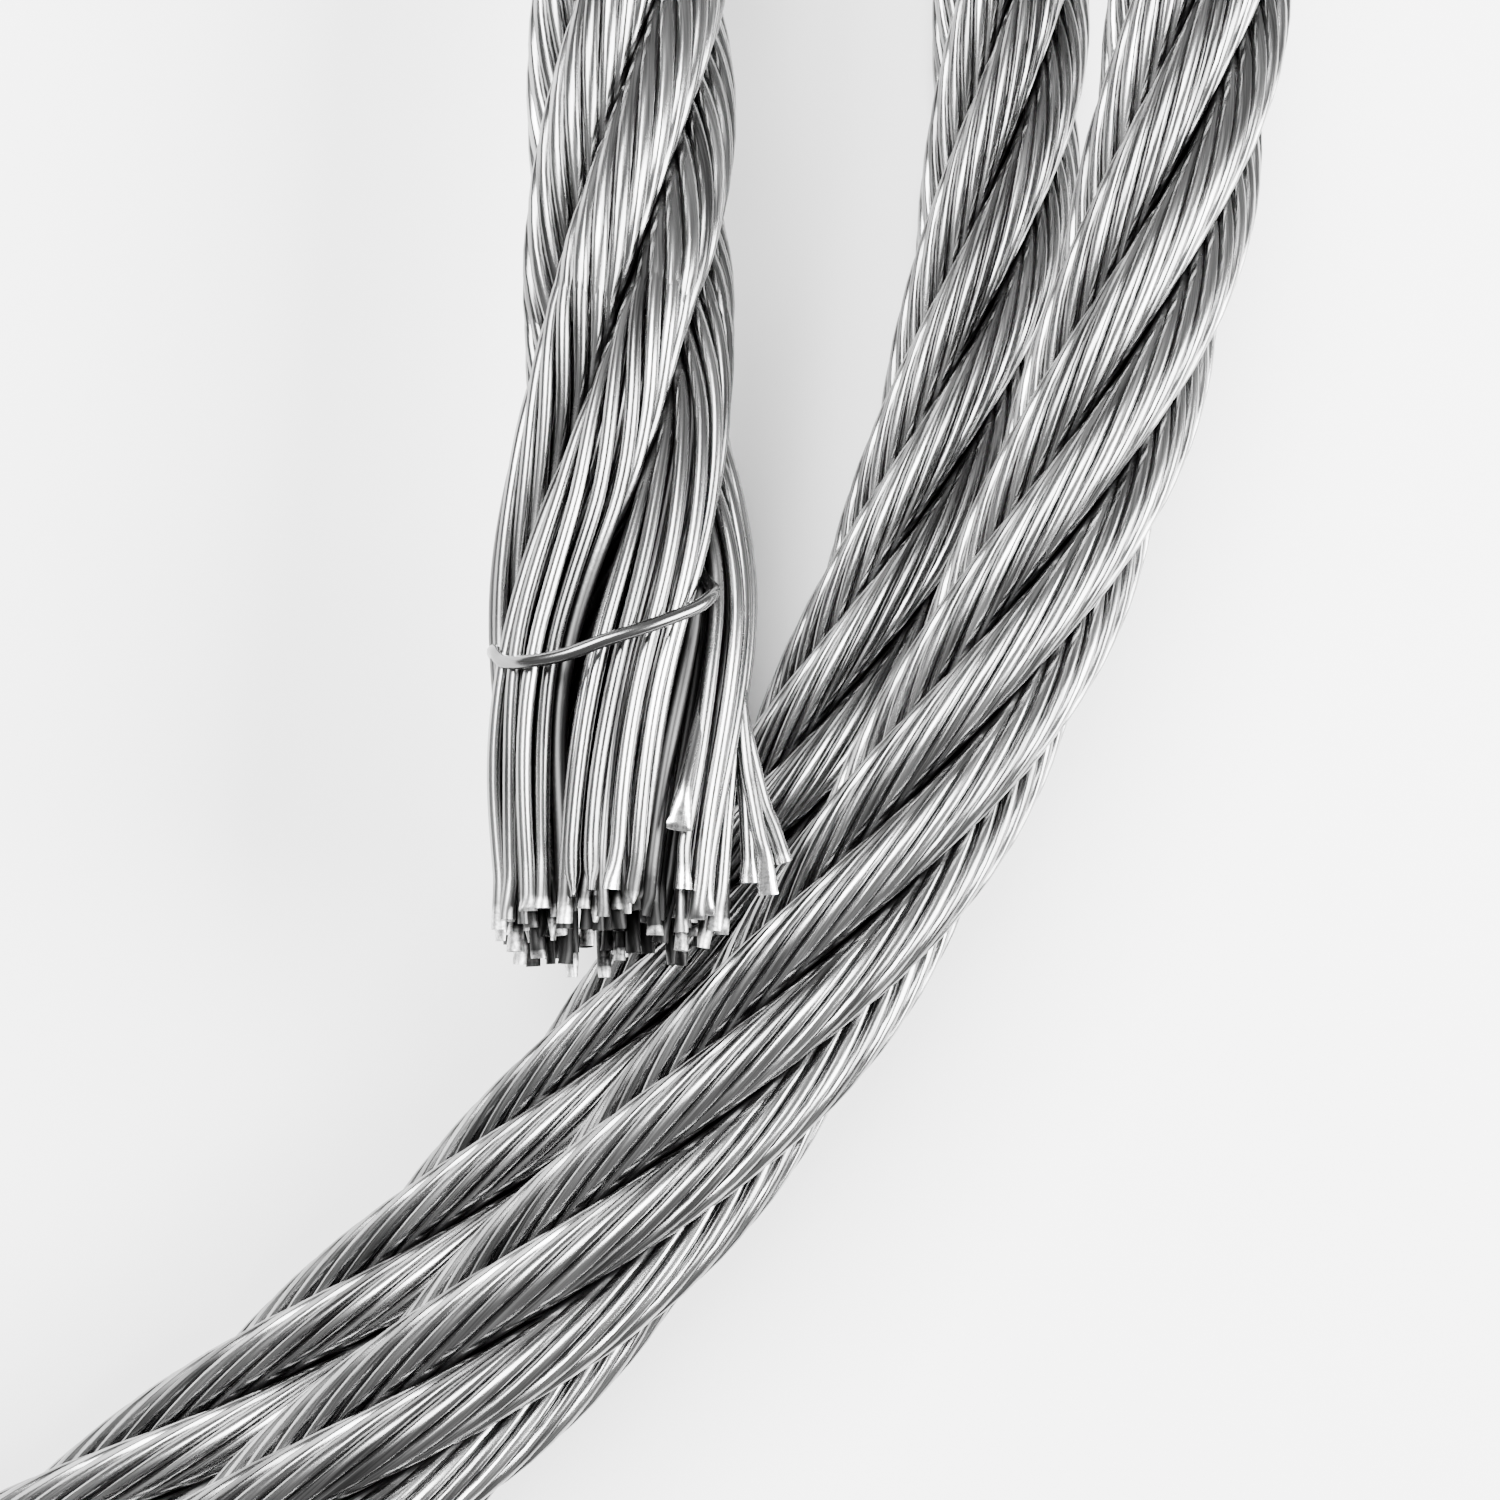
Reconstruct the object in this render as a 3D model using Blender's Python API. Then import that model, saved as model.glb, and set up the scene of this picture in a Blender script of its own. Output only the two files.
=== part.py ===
"""A coil of steel wire rope, in metres, +Z up.

Six strands are laid right-handed round a core. The rope makes one turn on the
floor, climbs, makes a second turn that leans outward on the first, and comes
round a third time on the inner side. Its last stretch springs straight and
ends in a rough cut, whose strands open. A tie wire holds them together.
The origin is the middle of the coil's outline, on the floor.
"""
import math

import bpy
from mathutils import Vector

# The rope
ROPE_DIAMETER = 0.016
STRAND_COUNT = 6
LAY_LENGTH = 0.1111
START_TURN = 51.0
STATIONS_PER_LAY = 7
SHORTEST_STEP = 0.3
HELIX_SHARE = 0.7
CLEARANCE = 0.0004

# The coil: azimuths are in degrees, and the rope runs clockwise seen from above
COIL_RADIUS = 0.172
START_AZIMUTH = 433.0
BOTTOM_SWEEP = 300.0
RAMP_SWEEP = 60.0
OUTER_SWEEP = 255.0
CROSSING_SWEEP = 45.0
NEST_OUT = 18.0
NEST_IN = 42.0
LEAN_OUT = 0.0078
LEAN_UP = 0.0080
LEAN_AZIMUTH = 30.0
LEAN_HALF_WIDTH = 80.0

# The free end: a straight line some way inside the bottom turn, which the third turn runs into
FREE_LINE_INSIDE = 0.0406
FREE_LINE_AZIMUTH = 15.0
FREE_BEND_AZIMUTH = 85.0
FREE_END_AZIMUTH = -36.52
FREE_END_RISE = 0.0110
FREE_RISE_POWER = 3.2
FREE_SWING = 0.0009
FREE_SWING_LENGTH = 0.045

# The cut: the rope is loose along the free end, and the strands stand apart before the cut and lose their lay
LOOSENED = 0.0008
LOOSENED_FROM = 0.200
LOOSENED_LENGTH = 0.120
OPENING_LENGTH = 0.050
WIDEST_FROM_CUT = 0.026
OPENING_SIDEWAYS = 0.0026
OPENING_UPWARD = 0.0004
OPENING_AT_CUT = 0.14
LAY_LOST_LENGTH = 0.042
LAY_LOST_POWER = 1.5
STRAND_SHORTER = (0.0020, 0.0006, 0.0012, 0.0020, 0.0024, 0.0032)

# The tie wire, which starts at an angle round the rope and leans toward the cut on one side
TIE_DIAMETER = 0.0010
TIE_FROM_CUT = 0.0245
TIE_START = -60.0
TIE_TAIL = 20.0
TIE_PITCH = 0.0024
TIE_LEAN = 0.18
TIE_POINTS = 40

# The middle of the coil's outline, from the middle of its bottom turn
OUTLINE_MIDDLE = (0.0027, 0.0007)
PATH_STEP = 0.0005


def clear_scene():
    """Removes what the new scene came with."""
    for thing in list(bpy.data.objects):
        bpy.data.objects.remove(thing, do_unlink=True)


def smooth(share):
    """Goes from 0 to 1 with level ends."""
    share = min(max(share, 0.0), 1.0)
    return share * share * (3.0 - 2.0 * share)


def contact():
    """Distance between the middles of two passes that lie on each other."""
    return ROPE_DIAMETER + CLEARANCE


def nested(angle):
    """Offset and height of a pass that leans by an angle on the bottom turn."""
    turn = math.radians(angle)
    return contact() * math.sin(turn), ROPE_DIAMETER / 2 + contact() * math.cos(turn)


def climbing(share):
    """Offset and height on the climb, which rolls round the inner pass."""
    middle_out, middle_up = nested(-NEST_IN)
    start = math.atan2(ROPE_DIAMETER / 2 - middle_up, -middle_out)
    end_out, end_up = nested(NEST_OUT)
    end = math.atan2(end_up - middle_up, end_out - middle_out)
    turn = start + (end - start) * smooth(share)
    reach = math.hypot(middle_out, ROPE_DIAMETER / 2 - middle_up)
    return middle_out + reach * math.cos(turn), middle_up + reach * math.sin(turn)


def lean(azimuth):
    """How far out and up the outer pass stands off where the third pass pushes it."""
    away = (azimuth - LEAN_AZIMUTH + 180.0) % 360.0 - 180.0
    if abs(away) >= LEAN_HALF_WIDTH:
        return 0.0, 0.0
    share = math.cos(math.radians(90.0 * away / LEAN_HALF_WIDTH)) ** 2
    return LEAN_OUT * share, LEAN_UP * share


def free_line_x():
    """How far the free line passes from the middle of the bottom turn."""
    return COIL_RADIUS - FREE_LINE_INSIDE


def bend_radius(azimuth):
    """Radius of the third pass as it swings inward to meet the free line."""
    first = math.radians(FREE_LINE_AZIMUTH)
    last = math.radians(FREE_BEND_AZIMUTH)
    start_radius = free_line_x() / math.cos(first)
    start_slope = free_line_x() * math.sin(first) / math.cos(first) ** 2
    end_radius = COIL_RADIUS + nested(-NEST_IN)[0]
    run = last - first
    t = (math.radians(azimuth) - first) / run
    return ((2 * t ** 3 - 3 * t ** 2 + 1) * start_radius + (t ** 3 - 2 * t ** 2 + t) * run * start_slope
            + (3 * t ** 2 - 2 * t ** 3) * end_radius)


def coil_points():
    """The rope's middle line from its far end to where the free line starts."""
    marks = [BOTTOM_SWEEP, RAMP_SWEEP, OUTER_SWEEP, CROSSING_SWEEP]
    ends = [sum(marks[:i + 1]) for i in range(len(marks))]
    total = START_AZIMUTH + 360.0 - FREE_LINE_AZIMUTH
    count = int(total * math.radians(1.0) * COIL_RADIUS / PATH_STEP)
    points = []
    for i in range(count):
        sweep = total * i / count
        azimuth = START_AZIMUTH + 360.0 - sweep
        radius = COIL_RADIUS
        if sweep < ends[0]:
            out, up = 0.0, ROPE_DIAMETER / 2
        elif sweep < ends[1]:
            out, up = climbing((sweep - ends[0]) / RAMP_SWEEP)
            out += lean(azimuth)[0] * smooth((sweep - ends[0]) / RAMP_SWEEP)
            up += lean(azimuth)[1] * smooth((sweep - ends[0]) / RAMP_SWEEP)
        elif sweep < ends[2]:
            out, up = nested(NEST_OUT)
            out += lean(azimuth)[0]
            up += lean(azimuth)[1]
        elif sweep < ends[3]:
            out, up = nested(NEST_OUT - (NEST_OUT + NEST_IN) * smooth((sweep - ends[2]) / CROSSING_SWEEP))
        else:
            out, up = nested(-NEST_IN)
            if azimuth < FREE_BEND_AZIMUTH:
                radius = bend_radius(azimuth) - out
        turn = math.radians(azimuth)
        reach = radius + out
        points.append(Vector((reach * math.cos(turn), reach * math.sin(turn), up)))
    return points


def rope_points():
    """The whole middle line, closely spaced, with the rise of the free end."""
    points = coil_points()
    low_y = free_line_x() * math.tan(math.radians(FREE_END_AZIMUTH))
    high_y = free_line_x() * math.tan(math.radians(FREE_LINE_AZIMUTH))
    height = nested(-NEST_IN)[1]
    count = int((high_y - low_y) / PATH_STEP)
    for i in range(count + 1):
        y = high_y + (low_y - high_y) * i / count
        swing = FREE_SWING * smooth(1.0 - (y - low_y) / FREE_SWING_LENGTH)
        points.append(Vector((free_line_x() - swing, y, height)))
    line_length = high_y - low_y
    bend_length = math.radians(FREE_BEND_AZIMUTH - FREE_LINE_AZIMUTH) * COIL_RADIUS
    travelled = 0.0
    span = line_length + bend_length
    for i in range(len(points) - 1, 0, -1):
        share = travelled / span
        if share >= 1.0:
            break
        points[i].z += FREE_END_RISE * (1.0 - share) ** FREE_RISE_POWER
        travelled += (Vector(points[i].xy) - Vector(points[i - 1].xy)).length
    middle = Vector((*OUTLINE_MIDDLE, 0.0))
    return [point - middle for point in points]


class MiddleLine:
    """Positions and directions along the rope, by the distance from its far end."""

    def __init__(self, points):
        self.points = points
        self.distance = [0.0]
        for before, after in zip(points, points[1:]):
            self.distance.append(self.distance[-1] + (after - before).length)
        self.length = self.distance[-1]

    def at(self, along):
        """Position, direction, sideways and upward at a distance along the rope."""
        along = min(max(along, 0.0), self.length)
        low = min(int(along / self.length * (len(self.points) - 1)), len(self.points) - 2)
        while self.distance[low] > along:
            low -= 1
        while low < len(self.points) - 2 and self.distance[low + 1] < along:
            low += 1
        step = self.distance[low + 1] - self.distance[low]
        place = self.points[low].lerp(self.points[low + 1], (along - self.distance[low]) / step)
        before = self.points[max(low - 3, 0)]
        after = self.points[min(low + 4, len(self.points) - 1)]
        direction = (after - before).normalized()
        sideways = direction.cross(Vector((0.0, 0.0, 1.0))).normalized()
        return place, direction, sideways, sideways.cross(direction)


def strand_radius():
    """The largest round strand that clears its neighbours between two stations.

    HELIX_SHARE is the width of the strands' helix as a share of the rope's.
    """
    lay_angle = math.atan(math.pi * HELIX_SHARE * ROPE_DIAMETER / LAY_LENGTH)
    closeness = math.cos(math.pi / STATIONS_PER_LAY) * math.cos(lay_angle)
    return (closeness * ROPE_DIAMETER / 2 - CLEARANCE) / (2.0 + closeness)


def core_radius():
    """The largest core that clears the strands between two stations."""
    helix = ROPE_DIAMETER / 2 - strand_radius()
    return helix * math.cos(math.pi / STATIONS_PER_LAY) - strand_radius() - CLEARANCE


def loosened(line, along):
    """How much further out the strands lie along the loose free end."""
    return LOOSENED * smooth((LOOSENED_FROM - (line.length - along)) / LOOSENED_LENGTH)


def opened(line, along):
    """How far the strands stand apart, from 0 to 1, at a distance along the rope."""
    from_cut = line.length - along
    if from_cut > WIDEST_FROM_CUT:
        return smooth((OPENING_LENGTH - from_cut) / (OPENING_LENGTH - WIDEST_FROM_CUT))
    return OPENING_AT_CUT + (1.0 - OPENING_AT_CUT) * smooth(from_cut / WIDEST_FROM_CUT)


def lay_turn(line, along):
    """Angle that a strand has turned round the rope, less where the lay fades out at the cut."""
    start = line.length - LAY_LOST_LENGTH
    left = 1.0 - min(max((along - start) / LAY_LOST_LENGTH, 0.0), 1.0)
    power = LAY_LOST_POWER + 1.0
    laid = min(along, start) + LAY_LOST_LENGTH * (1.0 - left ** power) / power
    return math.radians(START_TURN) + 2 * math.pi * laid / LAY_LENGTH


def strand_point(line, strand, along):
    """A point on the middle of a strand."""
    place, direction, sideways, upward = line.at(along)
    turn = lay_turn(line, along) + 2 * math.pi * strand / STRAND_COUNT
    reach = ROPE_DIAMETER / 2 - strand_radius() + loosened(line, along)
    wide = reach + OPENING_SIDEWAYS * opened(line, along)
    high = reach + OPENING_UPWARD * opened(line, along)
    return place + sideways * (wide * math.sin(turn)) + upward * (high * math.cos(turn))


def stations(line, shorter):
    """Distances along the rope at which each strand has a ring of corners."""
    step = LAY_LENGTH / STATIONS_PER_LAY
    end = line.length - shorter
    count = int(end / step)
    places = [i * step for i in range(count + 1)]
    if end - places[-1] < SHORTEST_STEP * step:
        places.pop()
    return places + [end]


def chord_point(line, strand, along):
    """A point on the middle of a strand's straight step, level with a distance along the rope."""
    places = stations(line, STRAND_SHORTER[strand])
    low = max(i for i in range(len(places) - 1) if places[i] <= along)
    start = strand_point(line, strand, places[low])
    end = strand_point(line, strand, places[low + 1])
    place, direction, sideways, upward = line.at(along)
    return start.lerp(end, (place - start).dot(direction) / (end - start).dot(direction))


def tie_point(line, along, angle):
    """Where a tight wire round the strands lies at an angle round the rope."""
    sideways, upward = line.at(along)[2:]
    outward = sideways * math.sin(angle) + upward * math.cos(angle)
    middles = [chord_point(line, strand, along) for strand in range(STRAND_COUNT)]
    furthest = max(middles, key=lambda middle: middle.dot(outward))
    return furthest + outward * (strand_radius() + TIE_DIAMETER / 2 + CLEARANCE)


def steel(name, colour, roughness):
    """Plain metal of one colour."""
    material = bpy.data.materials.new(name)
    material.use_nodes = True
    shader = material.node_tree.nodes["Principled BSDF"]
    shader.inputs["Base Color"].default_value = (*colour, 1.0)
    shader.inputs["Metallic"].default_value = 1.0
    shader.inputs["Roughness"].default_value = roughness
    return material


def tube(name, points, radius, sides, material, collection):
    """A round wire along points, with closed ends."""
    curve = bpy.data.curves.new(name, "CURVE")
    curve.dimensions = "3D"
    curve.bevel_depth = radius
    curve.bevel_resolution = (sides - 4) // 2
    curve.use_fill_caps = True
    curve.resolution_u = 1
    spline = curve.splines.new("POLY")
    spline.points.add(len(points) - 1)
    for corner, point in zip(spline.points, points):
        corner.co = (*point, 1.0)
    curve.materials.append(material)
    thing = bpy.data.objects.new(name, curve)
    collection.objects.link(thing)
    return thing


def make_strands(line, collection):
    """The six strands."""
    finish = steel("strand_steel", (0.50, 0.50, 0.50), 0.35)
    for strand in range(STRAND_COUNT):
        places = stations(line, STRAND_SHORTER[strand])
        points = [strand_point(line, strand, along) for along in places]
        tube(f"strand_{strand + 1}", points, strand_radius(), 6, finish, collection)


def make_core(line, collection):
    """The core that the strands lie round."""
    finish = steel("core_steel", (0.30, 0.30, 0.30), 0.50)
    points = [line.at(along)[0] for along in stations(line, max(STRAND_SHORTER))]
    tube("core", points, core_radius(), 6, finish, collection)


def make_tie_wire(line, collection):
    """One loop of thin wire round the open strands, whose ends pass each other."""
    finish = steel("tie_steel", (0.45, 0.45, 0.45), 0.40)
    along = line.length - TIE_FROM_CUT
    sideways = line.at(along)[2]
    points = []
    for i in range(TIE_POINTS):
        share = i / (TIE_POINTS - 1)
        angle = math.radians(TIE_START + (360.0 + TIE_TAIL) * share)
        level = tie_point(line, along, angle)
        lean = TIE_LEAN * (level - line.at(along)[0]).dot(sideways)
        points.append(tie_point(line, along + lean + TIE_PITCH * (share - 0.5), angle))
    tube("tie_wire", points, TIE_DIAMETER / 2, 6, finish, collection)


def main():
    """Builds the coil in its own collection."""
    clear_scene()
    collection = bpy.data.collections.new("wire_rope_coil")
    bpy.context.scene.collection.children.link(collection)
    line = MiddleLine(rope_points())
    make_strands(line, collection)
    make_core(line, collection)
    make_tie_wire(line, collection)


main()
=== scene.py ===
"""The looks of a coil of steel wire rope, in metres, +Z up.

The rope's route repeats the CAD source's, so the strands lie along their solids.
A strand is one skin with a lobe for each outer wire. Its last stretch before the
rough cut is made of loose wires, each swept along a path of its own.
"""
import math

import bpy
import numpy as np
from mathutils import Matrix, Vector

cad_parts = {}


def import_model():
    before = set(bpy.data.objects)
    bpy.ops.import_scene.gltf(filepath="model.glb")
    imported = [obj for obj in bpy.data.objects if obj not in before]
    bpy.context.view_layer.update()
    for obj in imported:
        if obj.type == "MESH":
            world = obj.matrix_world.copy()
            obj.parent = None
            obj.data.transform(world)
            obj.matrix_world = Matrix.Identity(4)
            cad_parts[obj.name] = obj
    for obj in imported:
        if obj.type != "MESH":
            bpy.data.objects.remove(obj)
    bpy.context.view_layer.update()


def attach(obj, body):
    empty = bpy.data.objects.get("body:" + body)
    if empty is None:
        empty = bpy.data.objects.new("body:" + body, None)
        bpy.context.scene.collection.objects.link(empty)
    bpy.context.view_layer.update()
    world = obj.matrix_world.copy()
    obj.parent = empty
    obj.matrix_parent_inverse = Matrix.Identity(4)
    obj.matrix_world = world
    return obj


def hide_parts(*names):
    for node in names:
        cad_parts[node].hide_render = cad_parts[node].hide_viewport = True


# The rope, as in the CAD source
ROPE_DIAMETER = 0.016
STRAND_COUNT = 6
LAY_LENGTH = 0.1111
START_TURN = 51.0
CLEARANCE = 0.0004

# The coil's route, as in the CAD source
COIL_RADIUS = 0.172
START_AZIMUTH = 433.0
BOTTOM_SWEEP = 300.0
RAMP_SWEEP = 60.0
OUTER_SWEEP = 255.0
CROSSING_SWEEP = 45.0
NEST_OUT = 18.0
NEST_IN = 42.0
LEAN_OUT = 0.0078
LEAN_UP = 0.0080
LEAN_AZIMUTH = 30.0
LEAN_HALF_WIDTH = 80.0
FREE_LINE_INSIDE = 0.0406
FREE_LINE_AZIMUTH = 15.0
FREE_BEND_AZIMUTH = 85.0
FREE_END_AZIMUTH = -36.52
FREE_END_RISE = 0.0110
FREE_RISE_POWER = 3.2
FREE_SWING = 0.0009
FREE_SWING_LENGTH = 0.045
OUTLINE_MIDDLE = (0.0027, 0.0007)
PATH_STEP = 0.0005
FRAME_STEP = 0.001
DIRECTION_POINTS = 3

# The loose free end and its cut, as in the CAD source
LOOSENED = 0.0008
LOOSENED_FROM = 0.200
LOOSENED_LENGTH = 0.120
OPENING_LENGTH = 0.050
WIDEST_FROM_CUT = 0.026
OPENING_SIDEWAYS = 0.0026
OPENING_UPWARD = 0.0004
OPENING_AT_CUT = 0.14
LAY_LOST_LENGTH = 0.042
LAY_LOST_POWER = 1.5
STRAND_SHORTER = (0.0020, 0.0006, 0.0012, 0.0020, 0.0024, 0.0032)

# The share of the loosening that thickens a strand, and the rest moves it out
SWOLLEN_SHARE = 0.42

# The tie wire by sideways and upward from the rope's middle, and by distance from the cut
TIE_DIAMETER = 0.0010
TIE_ROUTE = (
    (-0.0052, -0.0010, 0.0330), (-0.0059, 0.0020, 0.0316), (-0.0059, 0.0044, 0.0301), (-0.0061, 0.0066, 0.0288),
    (-0.0056, 0.0080, 0.0278), (-0.0043, 0.0089, 0.0266), (-0.0011, 0.0097, 0.0249), (0.0021, 0.0096, 0.0236),
    (0.0052, 0.0087, 0.0224), (0.0078, 0.0071, 0.0221), (0.0093, 0.0046, 0.0226), (0.0099, 0.0018, 0.0240),
    (0.0098, -0.0024, 0.0246), (0.0085, -0.0060, 0.0249), (0.0058, -0.0089, 0.0253), (0.0018, -0.0099, 0.0256),
    (-0.0026, -0.0098, 0.0259), (-0.0066, -0.0083, 0.0263), (-0.0094, -0.0055, 0.0267), (-0.0096, -0.0030, 0.0270),
    (-0.0076, -0.0016, 0.0272),
)

TIE_SEED = 151.0
ROUTE_POINTS_PER_CORNER = 8

# The wires of a strand
STRAND_RADIUS = 0.00253
OUTER_WIRES = 10
WIRE_LAY = 0.052
WIRE_LAY_LOST_FROM = 0.046
WIRE_LAY_LOST_LENGTH = 0.020
POINTS_PER_WIRE = 6
LOBE_FLATNESS = 0.42
SEEDS_PER_STRAND = 20.0

# The core, a small rope of its own
CORE_RADIUS = 0.00270
CORE_WIRES = 12
CORE_LAY = 0.030
CORE_FLATNESS = 1.0
# How dark the core gets: painted shade with grease, deep in the rope
CORE_GREASE_AND_SHADE = 0.8
POINTS_PER_CORE_WIRE = 4
CORE_CLOSE_END = 0.090
CORE_SHORTER = 0.0060
CORE_OPENING = 0.0007
CORE_RING_STEP = 0.0015
CORE_WIDE_STEP = 0.0060

# The loose wires before the cut
LOOSE_LENGTH = 0.050
LOOSE_OVERLAP = 0.0060
SUNK_SHARE = 0.12
FAN_LENGTH = 0.016
LOOSE_STEP = 0.0013
CLOSE_STEP = 0.0005
CLOSE_LENGTH = 0.013
WIRE_SIDES = 10
INNER_WIRES = 6
INNER_SHARE = 0.50
INNER_THICKNESS = 0.72
# Painted shade with grease on the inner wires, deep in the strand
INNER_GREASE_AND_SHADE = 0.6
CENTRE_THICKNESS = 0.8
INNER_LENGTH = 0.046
FLATTENED = 0.14
WANDER = 0.00038
WAVE_LENGTHS = (0.018, 0.030)
RAGGED = 0.0020
CUT_SLANT = 0.60
PAST_CUT = 0.0004
CUT_SQUEEZES = (0.1, 0.8)
CUT_WIDTHS = (1.0, 1.35)
CUT_FACE_LENGTHS = (0.0004, 0.0020)
CUT_FACE_START = 0.6
INNER_FACE_LOSS = 0.8
BRIGHT_ENDS = 0.45
BENT_ENDS = 0.00022
BENT_LENGTH = 0.004
# Painted shade with grease on the lowest wire ends at the cut: its length, height and fade, a random share for
# some wires, and its strength
END_GREASE_AND_SHADE_LENGTH = 0.0045
END_GREASE_AND_SHADE_HEIGHT = 0.0012
END_GREASE_AND_SHADE_FADE = 0.0016
END_GREASE_AND_SHADE_SHARES = (-0.2, 0.9)
END_GREASE_AND_SHADE = 0.8
# Painted shade with grease on loose wires that lie low in the opened end
GREASE_AND_SHADE_HEIGHT = 0.0028
GREASE_AND_SHADE_FADE = 0.0045
SEED = 11

# Grains of the steel's streaks, tones and specks, per metre
STREAKS_ACROSS = 7000.0
STREAKS_ALONG = 110.0
TONES_ALONG = 45.0
SPECKS = 2600.0
STREAK_STEPS = (7.3, 3.1)
TONE_STEPS = (5.7, 11.9)

# How much specks shift the edges of the flanks' painted shade with grease, and between which heights a groove gets
# painted shade with grease
SPECKS_ON_FLANK = 0.5
SPECKS_IN_GROOVE = 0.2
GROOVE_HEIGHTS = (0.02, 0.26)

# How much painted shade with grease darkens the steel on flanks that face the rope's middle, in grooves, and on
# deep and low wires
FLANK_GRIME_AND_SHADE = 0.80
GROOVE_GRIME_AND_SHADE = 0.90
GREASE_AND_SHADE_WEIGHTS = (0.6, 0.8)

# How tones and streaks brighten the steel, and how streaks and the painted shade with grease roughen it
TONE_WEIGHT = 2.4
STREAK_WEIGHT = 1.2
SHADE_START = -1.35
ROUGHNESS = 0.13
STREAK_ROUGHNESS = 0.17
GRIME_AND_SHADE_ROUGHNESS = 0.30
BUMP_STRENGTH = 0.10
BUMP_HEIGHT = 0.00006

# How each strand's wires fan out once loose, and what comes on top of it at the cut: sideways spread and shift
FANNED_SPREAD = (1.14, 1.0, 1.0, 1.0, 1.30, 1.16)
FANNED_SHIFT = (-0.0010, 0.0, 0.0, 0.0, 0.0008, 0.0002)
SPREAD_AT_CUT = (1.07, 1.0, 1.0, 1.0, 0.85, 1.02)
SHIFT_AT_CUT = (0.0015, 0.0, 0.0, 0.0, -0.0004, 0.0)

# Wires bent away on their own: corners as for the tie wire, flattening of the end, width and length of its face
STRAY_WIRES = (
    (((-0.0083, 0.0020, 0.0300), (-0.0090, 0.0025, 0.0217), (-0.0097, 0.0026, 0.0185), (-0.0105, 0.0026, 0.0154),
      (-0.0112, 0.0026, 0.0130), (-0.0120, 0.0026, 0.0111), (-0.0127, 0.0026, 0.0091), (-0.0129, 0.0026, 0.0085)),
     0.10, 1.10, 0.0008),
    (((-0.0085, 0.0030, 0.0260), (-0.0095, 0.0034, 0.0168), (-0.0100, 0.0036, 0.0137), (-0.0106, 0.0038, 0.0105),
      (-0.0111, 0.0038, 0.0086), (-0.0114, 0.0036, 0.0059)),
     0.80, 1.35, 0.0036),
    (((-0.0086, 0.0014, 0.0250), (-0.0097, 0.0018, 0.0155), (-0.0100, 0.0018, 0.0123), (-0.0102, 0.0018, 0.0091),
      (-0.0103, 0.0018, 0.0069)),
     0.45, 1.30, 0.0020),
    (((-0.0070, 0.0020, 0.0280), (-0.0062, 0.0042, 0.0220), (-0.0051, 0.0058, 0.0170), (-0.0043, 0.0068, 0.0135),
      (-0.0039, 0.0072, 0.0103)),
     0.85, 1.65, 0.0036),
)

STRAY_SEED = 161.0
STRAY_DEPTH = 0.002

# Distances between the rings of a skin, and the stretches that the photograph shows closely
FINE_RING_STEP = 0.0018
WIDE_RING_STEP = 0.0032
CLOSE_SWEEPS = ((52.0, 140.0), (412.0, 500.0))
CLOSE_END = 0.150

# The camera, by its place and where it looks
IMAGE_SIDE = 1500
FOCAL_PIXELS = 1424.0
SENSOR_WIDTH = 36.0
CAMERA_PLACE = (0.1163, -0.0890, 0.1403)
CAMERA_YAW = 0.2030
CAMERA_PITCH = 0.0756
CAMERA_ROLL = 0.0122
NEAREST_SEEN = 0.005

# The steels: darkest and brightest tone, and where the painted shade with grease on the strands' flanks starts and
# ends. The core's steel is very dark, painted shade with grease deep in the rope.
DRAWN_STEEL = (0.085, 0.43, -0.42, -0.02)
CORE_STEEL = (0.03, 0.10, -2.0, -1.5)
SOFT_STEEL = (0.10, 0.26, -2.0, -1.5)
# Colour of the painted shade with grease in grooves, on flanks, on deep and low wires and at the cut
GREASE_AND_SHADE_TONE = 0.02
CUT_TONE = 0.93

# The studio: each light's name, place, size and power, then the floor and the surroundings
LIGHTS = (("key", (0.95, -0.05, 0.70), 0.70, 66.0), ("overhead", (-0.28, 0.30, 0.88), 0.55, 46.0))
FLOOR_SIZE = 8.0
FLOOR_TONE = 0.94
FLOOR_ROUGHNESS = 0.6
SURROUNDINGS_TONE = 0.5
SURROUNDINGS_STRENGTH = 0.95

# A direction that no wire runs along
OFF_AXIS = (0.31, 0.17, 0.93)


def smooth(share):
    """Goes from 0 to 1 with level ends."""
    share = np.clip(share, 0.0, 1.0)
    return share * share * (3.0 - 2.0 * share)


def contact():
    """Distance between the middles of two passes that lie on each other."""
    return ROPE_DIAMETER + CLEARANCE


def nested(angle):
    """Offset and height of a pass that leans by an angle on the bottom turn."""
    turn = math.radians(angle)
    return contact() * math.sin(turn), ROPE_DIAMETER / 2 + contact() * math.cos(turn)


def climbing(share):
    """Offset and height on the climb, which rolls round the inner pass."""
    middle_out, middle_up = nested(-NEST_IN)
    start = math.atan2(ROPE_DIAMETER / 2 - middle_up, -middle_out)
    end_out, end_up = nested(NEST_OUT)
    end = math.atan2(end_up - middle_up, end_out - middle_out)
    turn = start + (end - start) * smooth(share)
    reach = math.hypot(middle_out, ROPE_DIAMETER / 2 - middle_up)
    return middle_out + reach * math.cos(turn), middle_up + reach * math.sin(turn)


def lean(azimuth):
    """How far out and up the outer pass stands off where the third pass pushes it."""
    away = (azimuth - LEAN_AZIMUTH + 180.0) % 360.0 - 180.0
    if abs(away) >= LEAN_HALF_WIDTH:
        return 0.0, 0.0
    share = math.cos(math.radians(90.0 * away / LEAN_HALF_WIDTH)) ** 2
    return LEAN_OUT * share, LEAN_UP * share


def free_line_x():
    """How far the free line passes from the middle of the bottom turn."""
    return COIL_RADIUS - FREE_LINE_INSIDE


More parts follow.
